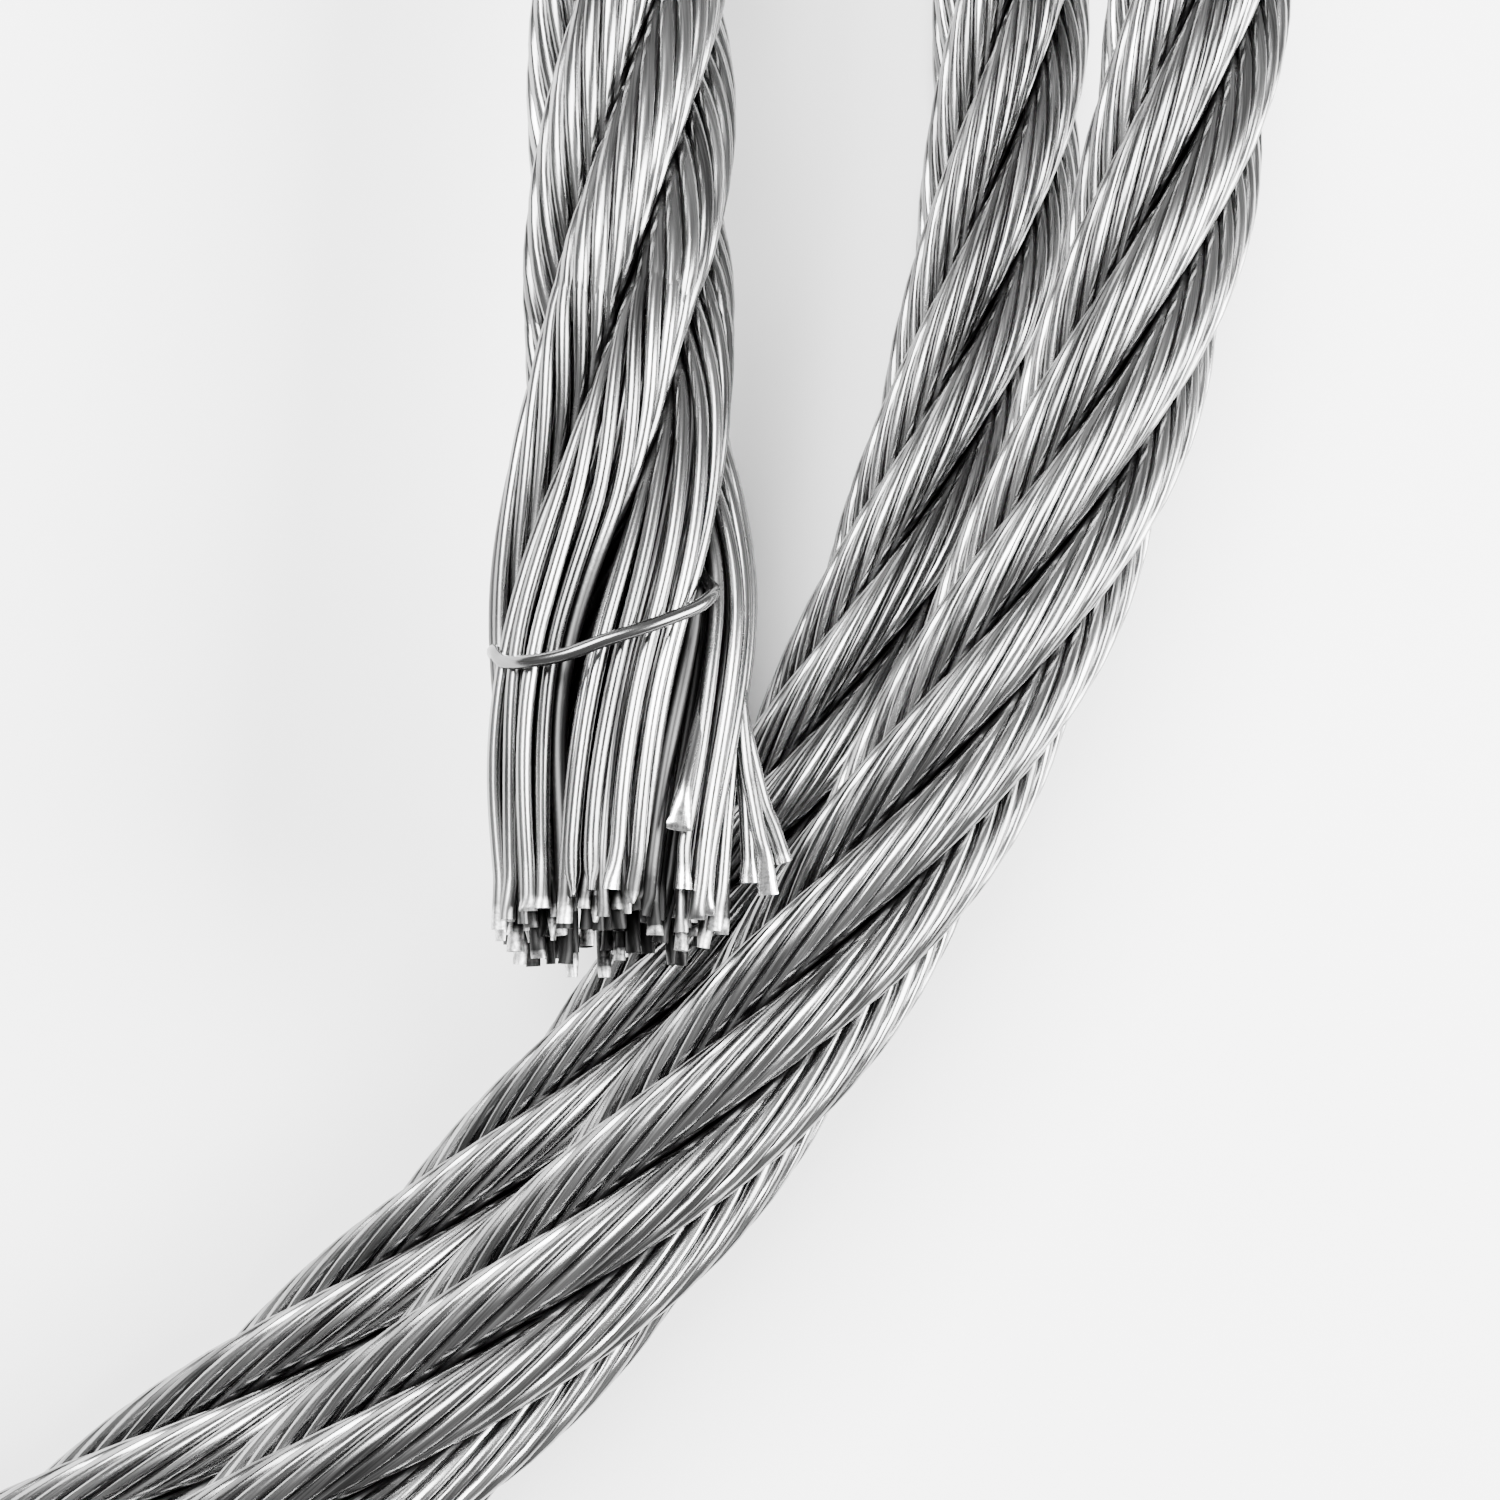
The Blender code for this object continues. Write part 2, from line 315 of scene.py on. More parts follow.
def bend_radius(azimuth):
    """Radius of the third pass as it swings inward to meet the free line."""
    first = math.radians(FREE_LINE_AZIMUTH)
    last = math.radians(FREE_BEND_AZIMUTH)
    start_radius = free_line_x() / math.cos(first)
    start_slope = free_line_x() * math.sin(first) / math.cos(first) ** 2
    end_radius = COIL_RADIUS + nested(-NEST_IN)[0]
    run = last - first
    t = (math.radians(azimuth) - first) / run
    return ((2 * t ** 3 - 3 * t ** 2 + 1) * start_radius + (t ** 3 - 2 * t ** 2 + t) * run * start_slope
            + (3 * t ** 2 - 2 * t ** 3) * end_radius)


def coil_sweep():
    """Degrees that the rope turns before its free line."""
    return START_AZIMUTH + 360.0 - FREE_LINE_AZIMUTH


def coil_count():
    """How many points the coil's part of the middle line has."""
    return int(coil_sweep() * math.radians(1.0) * COIL_RADIUS / PATH_STEP)


def coil_points():
    """The rope's middle line from its far end to where the free line starts."""
    marks = [BOTTOM_SWEEP, RAMP_SWEEP, OUTER_SWEEP, CROSSING_SWEEP]
    ends = [sum(marks[:i + 1]) for i in range(len(marks))]
    points = []
    for i in range(coil_count()):
        sweep = coil_sweep() * i / coil_count()
        azimuth = START_AZIMUTH + 360.0 - sweep
        radius = COIL_RADIUS
        if sweep < ends[0]:
            out, up = 0.0, ROPE_DIAMETER / 2
        elif sweep < ends[1]:
            out, up = climbing((sweep - ends[0]) / RAMP_SWEEP)
            out += lean(azimuth)[0] * smooth((sweep - ends[0]) / RAMP_SWEEP)
            up += lean(azimuth)[1] * smooth((sweep - ends[0]) / RAMP_SWEEP)
        elif sweep < ends[2]:
            out, up = nested(NEST_OUT)
            out += lean(azimuth)[0]
            up += lean(azimuth)[1]
        elif sweep < ends[3]:
            out, up = nested(NEST_OUT - (NEST_OUT + NEST_IN) * smooth((sweep - ends[2]) / CROSSING_SWEEP))
        else:
            out, up = nested(-NEST_IN)
            if azimuth < FREE_BEND_AZIMUTH:
                radius = bend_radius(azimuth) - out
        turn = math.radians(azimuth)
        reach = radius + out
        points.append((reach * math.cos(turn), reach * math.sin(turn), up))
    return points


def rope_points():
    """The whole middle line, closely spaced, with the rise of the free end."""
    points = coil_points()
    low_y = free_line_x() * math.tan(math.radians(FREE_END_AZIMUTH))
    high_y = free_line_x() * math.tan(math.radians(FREE_LINE_AZIMUTH))
    count = int((high_y - low_y) / PATH_STEP)
    for i in range(count + 1):
        y = high_y + (low_y - high_y) * i / count
        swing = FREE_SWING * smooth(1.0 - (y - low_y) / FREE_SWING_LENGTH)
        points.append((free_line_x() - swing, y, nested(-NEST_IN)[1]))
    points = np.array(points)
    steps = np.linalg.norm(np.diff(points[:, :2], axis=0), axis=1)
    from_tip = np.concatenate((np.cumsum(steps[::-1])[::-1], [0.0]))
    span = high_y - low_y + math.radians(FREE_BEND_AZIMUTH - FREE_LINE_AZIMUTH) * COIL_RADIUS
    points[:, 2] += FREE_END_RISE * np.clip(1.0 - from_tip / span, 0.0, 1.0) ** FREE_RISE_POWER
    return points - np.array((*OUTLINE_MIDDLE, 0.0))


def unit(vectors):
    """The same vectors, each one long."""
    return vectors / np.linalg.norm(vectors, axis=-1, keepdims=True)


def distances(points):
    """Distance of each point from the first, along the points."""
    steps = np.linalg.norm(np.diff(points, axis=0), axis=1)
    return np.concatenate(([0.0], np.cumsum(steps)))


class MiddleLine:
    """Places and directions along the rope, by the distance from its far end."""

    def __init__(self, points):
        self.points = points
        self.distance = distances(points)
        self.length = self.distance[-1]
        index = np.arange(len(points))
        before = points[np.maximum(index - DIRECTION_POINTS, 0)]
        after = points[np.minimum(index + DIRECTION_POINTS + 1, len(points) - 1)]
        self.direction = unit(after - before)
        self.sideways = unit(np.cross(self.direction, (0.0, 0.0, 1.0)))
        self.upward = np.cross(self.sideways, self.direction)

    def spread(self, along, values):
        """A vector along the rope, between the middle line's points."""
        return np.stack([np.interp(along, self.distance, values[:, i]) for i in range(3)], axis=1)

    def at(self, along):
        """Place, direction, sideways and upward at distances along the rope."""
        return (self.spread(along, self.points), self.spread(along, self.direction),
                self.spread(along, self.sideways), self.spread(along, self.upward))


def opened(line, along):
    """How far the strands stand apart, from 0 to 1, at distances along the rope."""
    from_cut = line.length - along
    before = smooth((OPENING_LENGTH - from_cut) / (OPENING_LENGTH - WIDEST_FROM_CUT))
    after = OPENING_AT_CUT + (1.0 - OPENING_AT_CUT) * smooth(from_cut / WIDEST_FROM_CUT)
    return np.where(from_cut > WIDEST_FROM_CUT, before, after)


def loosened(line, along):
    """How much further out the strands lie along the loose free end."""
    return LOOSENED * smooth((LOOSENED_FROM - (line.length - along)) / LOOSENED_LENGTH)


def swollen(line, along):
    """How many times thicker a loosened strand's bundle of wires is."""
    return 1.0 + SWOLLEN_SHARE * loosened(line, along) / STRAND_RADIUS


def laid(along, start, fade, power):
    """Distance over which a lay turns, when it fades out past a start."""
    left = 1.0 - np.clip((along - start) / fade, 0.0, 1.0)
    return np.minimum(along, start) + fade * (1.0 - left ** (power + 1.0)) / (power + 1.0)


def lay_turn(line, along):
    """Angle that a strand has turned round the rope, less where the lay has opened."""
    start = line.length - LAY_LOST_LENGTH
    reached = laid(along, start, LAY_LOST_LENGTH, LAY_LOST_POWER)
    return math.radians(START_TURN) + 2 * math.pi * reached / LAY_LENGTH


def strand_path(line, strand, along):
    """The middle of a strand at distances along the rope."""
    place, _, sideways, upward = line.at(along)
    turn = lay_turn(line, along) + 2 * math.pi * strand / STRAND_COUNT
    reach = ROPE_DIAMETER / 2 - STRAND_RADIUS + loosened(line, along) * (1.0 - SWOLLEN_SHARE)
    wide = (reach + OPENING_SIDEWAYS * opened(line, along)) * np.sin(turn)
    high = (reach + OPENING_UPWARD * opened(line, along)) * np.cos(turn)
    return place + sideways * wide[:, None] + upward * high[:, None]


class Strand:
    """The middle of one strand, with two directions across it that don't turn."""

    def __init__(self, line, number):
        self.line = line
        self.number = number
        self.grid = np.linspace(0.0, line.length, int(line.length / FRAME_STEP))
        self.points = strand_path(line, number, self.grid)
        tangent = unit(np.gradient(self.points, axis=0))
        self.across = np.empty_like(self.points)
        self.across[0] = unit(np.cross(tangent[0], (0.0, 0.0, 1.0)))
        for i in range(1, len(self.points)):
            moved = self.across[i - 1] - tangent[i] * np.dot(self.across[i - 1], tangent[i])
            self.across[i] = moved / np.linalg.norm(moved)
        self.other = np.cross(tangent, self.across)
        self.travelled = distances(self.points)

    def spread(self, along, values):
        """A vector along the strand, between the grid's points."""
        return np.stack([np.interp(along, self.grid, values[:, i]) for i in range(3)], axis=1)

    def twist(self, along):
        """Angle that the wires have turned round the strand."""
        start = self.line.length - WIRE_LAY_LOST_FROM
        reached = laid(along, start, WIRE_LAY_LOST_LENGTH, 1.0)
        return -2 * math.pi * np.interp(reached, self.grid, self.travelled) / WIRE_LAY

    def turned(self, along, angle=0.0):
        """The direction across the strand that a wire at an angle has reached."""
        turn = (self.twist(along) + angle)[:, None]
        return self.spread(along, self.across) * np.cos(turn) + self.spread(along, self.other) * np.sin(turn)

    def middle(self, along):
        """The strand's middle at distances along the rope."""
        return self.spread(along, self.points)

    def outward(self, along):
        """Directions from the rope's middle to the strand's."""
        return unit(self.middle(along) - self.line.at(along)[0])


def ring_places(end, windows, close_step, wide_step):
    """Distances along the rope for rings, close together in some windows."""
    places = [0.0]
    while places[-1] < end:
        close = any(low < places[-1] < high for low, high in windows)
        places.append(places[-1] + (close_step if close else wide_step))
    places[-1] = end
    return np.array(places)


def close_windows(line):
    """The stretches of the rope that are seen from near."""
    marks = [line.distance[int(coil_count() * sweep / coil_sweep())] for pair in CLOSE_SWEEPS for sweep in pair]
    return [(marks[0], marks[1]), (marks[2], marks[3]), (line.length - CLOSE_END, line.length)]


def wire_sizes(radius, count):
    """Radius of the ring of outer wires, and of one wire, in a round bundle."""
    share = math.sin(math.pi / count)
    wire = radius * share / (1.0 + share)
    return radius - wire, wire


class Maker:
    """Adds nodes to a tree and links or sets their sockets."""

    def __init__(self, tree):
        self.tree = tree

    def add(self, kind, settings=None, **values):
        """A node of a type, its settings, and the values or links of its inputs by name."""
        node = self.tree.nodes.new(kind)
        for key, value in (settings or {}).items():
            setattr(node, key, value)
        for key, value in values.items():
            name = key.replace("_", " ")
            socket = node.inputs[int(key[1:])] if key[0] == "i" and key[1:].isdigit() else node.inputs[name]
            self.feed(socket, value)
        return node

    def feed(self, socket, value):
        """Links a socket to another one, or sets its value."""
        if isinstance(value, Value):
            value = value.socket
        if isinstance(value, bpy.types.NodeSocket):
            self.tree.links.new(value, socket)
        else:
            socket.default_value = value


class Value:
    """A socket whose sums, products and powers add Math nodes."""

    def __init__(self, maker, socket):
        self.maker = maker
        self.socket = socket

    def math(self, operation, first, second=0.0, clamp=False):
        node = self.maker.add("ShaderNodeMath", {"operation": operation, "use_clamp": clamp}, i0=first, i1=second)
        return Value(self.maker, node.outputs[0])

    def __add__(self, other):
        return self.math("ADD", self, other)

    def __radd__(self, other):
        return self.math("ADD", other, self)

    def __sub__(self, other):
        return self.math("SUBTRACT", self, other)

    def __rsub__(self, other):
        return self.math("SUBTRACT", other, self)

    def __mul__(self, other):
        return self.math("MULTIPLY", self, other)

    def __rmul__(self, other):
        return self.math("MULTIPLY", other, self)

    def __truediv__(self, other):
        return self.math("DIVIDE", self, other)

    def __rtruediv__(self, other):
        return self.math("DIVIDE", other, self)

    def __pow__(self, other):
        return self.math("POWER", self, other)

    def sine(self):
        return self.math("SINE", self)

    def cosine(self):
        return self.math("COSINE", self)

    def clamped(self):
        return self.math("ADD", self, 0.0, clamp=True)

    def stepped(self, low, high):
        """Goes smoothly from 0 at low to 1 at high."""
        node = self.maker.add("ShaderNodeMapRange", {"interpolation_type": "SMOOTHSTEP"}, Value=self,
                              From_Min=low, From_Max=high)
        return Value(self.maker, node.outputs[0])


def new_tree(name, inputs):
    """A geometry tree with a geometry input and output, and the inputs' sockets by name."""
    tree = bpy.data.node_groups.new(name, "GeometryNodeTree")
    tree.interface.new_socket("Geometry", in_out="INPUT", socket_type="NodeSocketGeometry")
    tree.interface.new_socket("Geometry", in_out="OUTPUT", socket_type="NodeSocketGeometry")
    for label, kind in inputs.items():
        tree.interface.new_socket(label, in_out="INPUT", socket_type=kind)
    maker = Maker(tree)
    source = tree.nodes.new("NodeGroupInput")
    return tree, maker, source


def stored(maker, geometry, name, kind, value):
    """The geometry with a value kept on its points."""
    return maker.add("GeometryNodeStoreNamedAttribute", {"data_type": kind, "domain": "POINT"},
                     Geometry=geometry, Name=name, Value=value).outputs[0]


def strand_tree():
    """Sweeps a profile with one lobe for each outer wire along a path."""
    tree, maker, source = new_tree("laid_strand", {
        "Wires": "NodeSocketInt", "Points": "NodeSocketInt", "Ring Radius": "NodeSocketFloat",
        "Wire Radius": "NodeSocketFloat", "Flatness": "NodeSocketFloat", "Material": "NodeSocketMaterial"})
    wires = Value(maker, source.outputs["Wires"])
    ring = Value(maker, source.outputs["Ring Radius"])
    wire = Value(maker, source.outputs["Wire Radius"])
    corners = maker.add("ShaderNodeMath", {"operation": "MULTIPLY"}, i0=wires, i1=source.outputs["Points"])
    circle = maker.add("GeometryNodeCurvePrimitiveCircle", Resolution=corners.outputs[0], Radius=1.0)
    place = maker.add("GeometryNodeInputPosition").outputs[0]
    parts = maker.add("ShaderNodeSeparateXYZ", Vector=place)
    turn = Value(maker, parts.outputs["Y"]).math("ARCTAN2", parts.outputs["Y"], parts.outputs["X"])
    share = 2 * math.pi / wires
    lobe = turn + share / 2
    number = lobe.math("FLOOR", lobe / share)
    inside = lobe - share * number - share / 2
    depth = wire ** 2.0 - (ring * inside.sine()) ** 2.0
    reach = ring * inside.cosine() + depth.math("MAXIMUM", depth, 0.0) ** 0.5
    low = ring * (share / 2).cosine()
    height = ((reach - low) / (ring + wire - low)).clamped()
    flatter = low + (ring + wire - low) * height ** Value(maker, source.outputs["Flatness"])
    scaled = maker.add("ShaderNodeVectorMath", {"operation": "SCALE"}, Vector=place, Scale=flatter)
    numbered = stored(maker, circle.outputs["Curve"], "lobe", "FLOAT", number)
    raised = stored(maker, numbered, "lobe_height", "FLOAT", height)
    lobed = maker.add("GeometryNodeSetPosition", Geometry=raised, Position=scaled.outputs[0])
    marked = stored(maker, lobed.outputs[0], "wire_place", "FLOAT_VECTOR",
                    maker.add("GeometryNodeInputPosition").outputs[0])
    finish_sweep(maker, source, marked, False)
    return tree


def wire_tree():
    """Sweeps round wires along many paths, thinned and pinched by the paths' own values."""
    tree, maker, source = new_tree("loose_wires", {
        "Sides": "NodeSocketInt", "Wire Radius": "NodeSocketFloat", "Material": "NodeSocketMaterial"})
    circle = maker.add("GeometryNodeCurvePrimitiveCircle", Resolution=source.outputs["Sides"],
                       Radius=source.outputs["Wire Radius"])
    raised = stored(maker, circle.outputs["Curve"], "lobe_height", "FLOAT", 1.0)
    marked = stored(maker, raised, "wire_place", "FLOAT_VECTOR",
                    maker.add("GeometryNodeInputPosition").outputs[0])
    finish_sweep(maker, source, marked, True)
    return tree


def pinched(maker, geometry):
    """Flattens wires towards their middle, along their own pinch direction."""
    pinch = maker.add("GeometryNodeInputNamedAttribute", {"data_type": "FLOAT_VECTOR"}, Name="pinch")
    middle = maker.add("GeometryNodeInputNamedAttribute", {"data_type": "FLOAT_VECTOR"}, Name="wire_middle")
    place = maker.add("GeometryNodeInputPosition").outputs[0]
    away = maker.add("ShaderNodeVectorMath", {"operation": "SUBTRACT"}, i0=place, i1=middle.outputs["Attribute"])
    reach = maker.add("ShaderNodeVectorMath", {"operation": "DOT_PRODUCT"}, i0=away.outputs[0],
                      i1=pinch.outputs["Attribute"])
    back = Value(maker, reach.outputs["Value"]) * -1.0
    offset = maker.add("ShaderNodeVectorMath", {"operation": "SCALE"}, i0=pinch.outputs["Attribute"], Scale=back)
    return maker.add("GeometryNodeSetPosition", Geometry=geometry, Offset=offset.outputs[0]).outputs[0]


def finish_sweep(maker, source, profile, crushed):
    """Sweeps the profile along the incoming edges, closes the ends and gives the material."""
    path = maker.add("GeometryNodeMeshToCurve", Mesh=source.outputs["Geometry"])
    normal = maker.add("GeometryNodeInputNamedAttribute", {"data_type": "FLOAT_VECTOR"}, Name="lay_normal")
    turned = maker.add("GeometryNodeSetCurveNormal", {"mode": "FREE"}, Curve=path.outputs[0],
                       Normal=normal.outputs["Attribute"])
    thick = maker.add("GeometryNodeInputNamedAttribute", {"data_type": "FLOAT"}, Name="thickness")
    swept = maker.add("GeometryNodeCurveToMesh", Curve=turned.outputs[0], Profile_Curve=profile,
                      Scale=thick.outputs["Attribute"], Fill_Caps=True).outputs[0]
    if crushed:
        swept = pinched(maker, swept)
    real = maker.add("GeometryNodeRealizeInstances", Geometry=swept)
    shaded = maker.add("GeometryNodeSetMaterial", Geometry=real.outputs[0], Material=source.outputs["Material"])
    sink = maker.tree.nodes.new("NodeGroupOutput")
    maker.feed(sink.inputs[0], shaded.outputs[0])


def paths_object(name, chains, attributes):
    """An object of loose edges along each chain of points, with vector or number attributes."""
    points = np.concatenate(chains)
    edges = []
    first = 0
    for chain in chains:
        count = len(chain)
        edges.append(np.stack((np.arange(first, first + count - 1), np.arange(first + 1, first + count)), axis=1))
        first += count
    mesh = bpy.data.meshes.new(name)
    mesh.from_pydata(points.tolist(), np.concatenate(edges).tolist(), [])
    for label, parts in attributes.items():
        values = np.concatenate(parts).astype(np.float32)
        kind = "FLOAT_VECTOR" if values.ndim == 2 else "FLOAT"
        layer = mesh.attributes.new(label, kind, "POINT")
        layer.data.foreach_set("vector" if kind == "FLOAT_VECTOR" else "value", values.ravel())
    thing = bpy.data.objects.new(name, mesh)
    bpy.context.scene.collection.objects.link(thing)
    return thing


def grown(thing, tree, values, sharp_angle=75.0):
    """Runs a geometry tree on an object and keeps the result as its plain mesh."""
    modifier = thing.modifiers.new("nodes", "NODES")
    modifier.node_group = tree
    for socket in tree.interface.items_tree:
        if socket.in_out == "INPUT" and socket.name in values:
            modifier[socket.identifier] = values[socket.name]
    seen = thing.evaluated_get(bpy.context.evaluated_depsgraph_get())
    mesh = bpy.data.meshes.new_from_object(seen)
    thing.modifiers.remove(modifier)
    spare = thing.data
    thing.data = mesh
    bpy.data.meshes.remove(spare)
    mesh.name = thing.name
    mesh.shade_smooth()
    mesh.set_sharp_from_angle(angle=math.radians(sharp_angle))
    return thing


def kept(maker, name, output="Fac"):
    """A value kept on the mesh's points."""
    return maker.add("ShaderNodeAttribute", {"attribute_name": name}).outputs[output]


def noise(maker, vector, detail, roughness=0.6):
    """Noise from 0 to 1 at a vector whose steps are its grains."""
    node = maker.add("ShaderNodeTexNoise", {"noise_dimensions": "3D"}, Vector=vector, Scale=1.0, Detail=detail,
                     Roughness=roughness)
    return Value(maker, node.outputs["Fac"])


def mixed(maker, factor, first, second):
    """A colour between two others."""
    node = maker.add("ShaderNodeMix", {"data_type": "RGBA"}, i0=factor)
    maker.feed(node.inputs[6], first)
    maker.feed(node.inputs[7], second)
    return node.outputs[2]


def grey(value):
    """A neutral colour."""
    return (value, value, value, 1.0)


def drawn_steel(name, dull, bright, grease_low, grease_high):
    """Drawn wire with streaks along it, a tone of its own for each wire, and painted shade with grease on the
    strands' flanks, in the grooves and on deep and low wires.
    """
    material = bpy.data.materials.new(name)
    material.use_nodes = True
    maker = Maker(material.node_tree)
    shader = material.node_tree.nodes["Principled BSDF"]
    along = Value(maker, kept(maker, "along"))
    wire = Value(maker, kept(maker, "lobe")) + Value(maker, kept(maker, "seed"))
    place = maker.add("ShaderNodeVectorMath", {"operation": "SCALE"}, Vector=kept(maker, "wire_place", "Vector"),
                      Scale=STREAKS_ACROSS)
    lengthwise = maker.add("ShaderNodeCombineXYZ", X=wire * STREAK_STEPS[0], Y=wire * STREAK_STEPS[1],
                          Z=along * STREAKS_ALONG)
    streak_place = maker.add("ShaderNodeVectorMath", {"operation": "ADD"}, i0=place.outputs[0],
                             i1=lengthwise.outputs[0])
    streak = noise(maker, streak_place.outputs[0], 3.0)
    tone_place = maker.add("ShaderNodeCombineXYZ", X=wire * TONE_STEPS[0], Y=wire * TONE_STEPS[1],
                           Z=along * TONES_ALONG)
    tone = noise(maker, tone_place.outputs[0], 2.0)
    speck_place = maker.add("ShaderNodeVectorMath", {"operation": "SCALE"},
                            Vector=maker.add("ShaderNodeTexCoord").outputs["Object"], Scale=SPECKS)
    speck = noise(maker, speck_place.outputs[0], 4.0, 0.7)

    away = maker.add("ShaderNodeVectorMath", {"operation": "SUBTRACT"},
                     i0=maker.add("ShaderNodeNewGeometry").outputs["Position"],
                     i1=kept(maker, "strand_place", "Vector"))
    lift = maker.add("ShaderNodeVectorMath", {"operation": "DOT_PRODUCT"}, i0=away.outputs[0],
                     i1=kept(maker, "outward", "Vector"))
    lift = Value(maker, lift.outputs["Value"]) / STRAND_RADIUS
    height = Value(maker, kept(maker, "lobe_height"))
    # Painted shade with grease: flanks that face the rope's middle are darkened
    flank = 1.0 - (lift + (speck - 0.5) * SPECKS_ON_FLANK).stepped(grease_low, grease_high)
    # Painted shade with grease: the grooves between wires are darkened
    groove = 1.0 - (height + (speck - 0.5) * SPECKS_IN_GROOVE).stepped(*GROOVE_HEIGHTS)
    # Painted shade with grease kept on the wires: low and inner loose wires, the lowest cut ends and the core
    grease = Value(maker, kept(maker, "grease"))
    grime_and_shade = flank * FLANK_GRIME_AND_SHADE + groove * GROOVE_GRIME_AND_SHADE
    grime_and_shade = (grime_and_shade + grease * (GREASE_AND_SHADE_WEIGHTS[0] + speck * GREASE_AND_SHADE_WEIGHTS[1])).clamped()

    cut = Value(maker, kept(maker, "cut"))
    shade = (tone * TONE_WEIGHT + streak * STREAK_WEIGHT + SHADE_START).clamped()
    steel = mixed(maker, shade, grey(dull), grey(bright))
    greased = mixed(maker, grime_and_shade, steel, grey(GREASE_AND_SHADE_TONE))
    bare = (cut * (speck * 2.6 - 0.7)).clamped()
    maker.feed(shader.inputs["Base Color"], mixed(maker, bare, greased, grey(CUT_TONE)))
    shader.inputs["Metallic"].default_value = 1.0
    rough = (ROUGHNESS + streak * STREAK_ROUGHNESS + grime_and_shade * GRIME_AND_SHADE_ROUGHNESS).clamped()
    maker.feed(shader.inputs["Roughness"], rough)
    bump = maker.add("ShaderNodeBump", Height=streak + speck * 0.5, Strength=BUMP_STRENGTH,
                     Distance=BUMP_HEIGHT)
    maker.feed(shader.inputs["Normal"], bump.outputs[0])
    return material


def settle(thing, slot, *nodes):
    """Sets a finished piece on its body, in place of its solids."""
    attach(thing, "root")
    if nodes:
        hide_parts(*nodes)
    return thing


def add_skin(strand, tree, finish):
    """The skin of one strand from the far end to where its wires come loose."""
    line = strand.line
    along = ring_places(line.length - LOOSE_LENGTH, close_windows(line), FINE_RING_STEP, WIDE_RING_STEP)
    thing = paths_object(f"strand_{strand.number + 1}_skin", [strand.middle(along)], {
        "lay_normal": [strand.turned(along)], "along": [along], "strand_place": [strand.middle(along)],
        "outward": [strand.outward(along)], "seed": [np.full(len(along), SEEDS_PER_STRAND * strand.number)],
        "thickness": [swollen(line, along) * (1.0 - SUNK_SHARE * (1.0 - risen(along[-1] - along)))]})
    ring, wire = wire_sizes(STRAND_RADIUS, OUTER_WIRES)
    grown(thing, tree, {"Wires": OUTER_WIRES, "Points": POINTS_PER_WIRE, "Ring Radius": ring,
                        "Wire Radius": wire, "Flatness": LOBE_FLATNESS, "Material": finish})
    return settle(thing, "strand_steel", f"strand_{strand.number + 1}")


def add_core(line, tree, finish):
    """The core, made thicker along the loose end so that no floor shows between the opened strands."""
    windows = [(line.length - CORE_CLOSE_END, line.length)]
    along = ring_places(line.length - CORE_SHORTER, windows, CORE_RING_STEP, CORE_WIDE_STEP)
    place, _, sideways, upward = line.at(along)
    turn = (-2 * math.pi * along / CORE_LAY)[:, None]
    # The core's kept value darkens it: painted shade with grease
    thing = paths_object("core_rope", [place], {
        "lay_normal": [sideways * np.cos(turn) + upward * np.sin(turn)], "along": [along],
        "strand_place": [place], "outward": [upward], "grease": [np.full(len(along), CORE_GREASE_AND_SHADE)],
        "thickness": [1.0 + (loosened(line, along) + CORE_OPENING * fanned(line, along)) / CORE_RADIUS]})
    ring, wire = wire_sizes(CORE_RADIUS, CORE_WIRES)
    grown(thing, tree, {"Wires": CORE_WIRES, "Points": POINTS_PER_CORE_WIRE, "Ring Radius": ring,
                        "Wire Radius": wire, "Flatness": CORE_FLATNESS, "Material": finish})
    return settle(thing, "core_steel", "core")


def wire_along(line, start, end):
    """Distances along the rope for a loose wire's rings, closer near the cut."""
    middle = line.length - CLOSE_LENGTH
    wide = np.arange(start, middle, LOOSE_STEP)
    close = np.arange(middle, end - CLOSE_STEP / 2, CLOSE_STEP)
    return np.concatenate((wide, close, [end]))


def fanned(line, along):
    """From 0 where the wires come loose to 1 soon after."""
    return smooth((LOOSE_LENGTH - (line.length - along)) / FAN_LENGTH)


def risen(from_start):
    """From 0 where loose wires start, sunk under the skin, to 1 at their real height."""
    return smooth(from_start / LOOSE_OVERLAP)


def loose_share(line, along):
    """From 0 where the wires come loose to 1 at the cut."""
    return smooth(1.0 - (line.length - along) / LOOSE_LENGTH)


class WireBundle:
    """Paths of loose wires, collected for one piece."""

    def __init__(self):
        self.chains = []
        self.values = {}

    def add(self, points, **values):
        """One wire with its values at each ring."""
        tangent = unit(np.gradient(points, axis=0))
        values["lay_normal"] = unit(np.cross(tangent, OFF_AXIS))
        values["wire_middle"] = points
        self.chains.append(points)
        for name, value in values.items():
            self.values.setdefault(name, []).append(value)

    def grow(self, name, tree, radius, finish):
        """The piece that the bundle's paths make."""
        thing = paths_object(name, self.chains, self.values)
        return grown(thing, tree, {"Sides": WIRE_SIDES, "Wire Radius": radius, "Material": finish})


def end_shape(from_end, squeeze, width, face, direction):
    """Thickness, pinch and brightness of a wire's crushed end."""
    share = smooth(1.0 - from_end / face)
    return 1.0 + (width - 1.0) * share, direction * np.sqrt(squeeze * share)[:, None], smooth(
        1.0 - (from_end - CUT_FACE_START * face) / ((1.0 - CUT_FACE_START) * face))


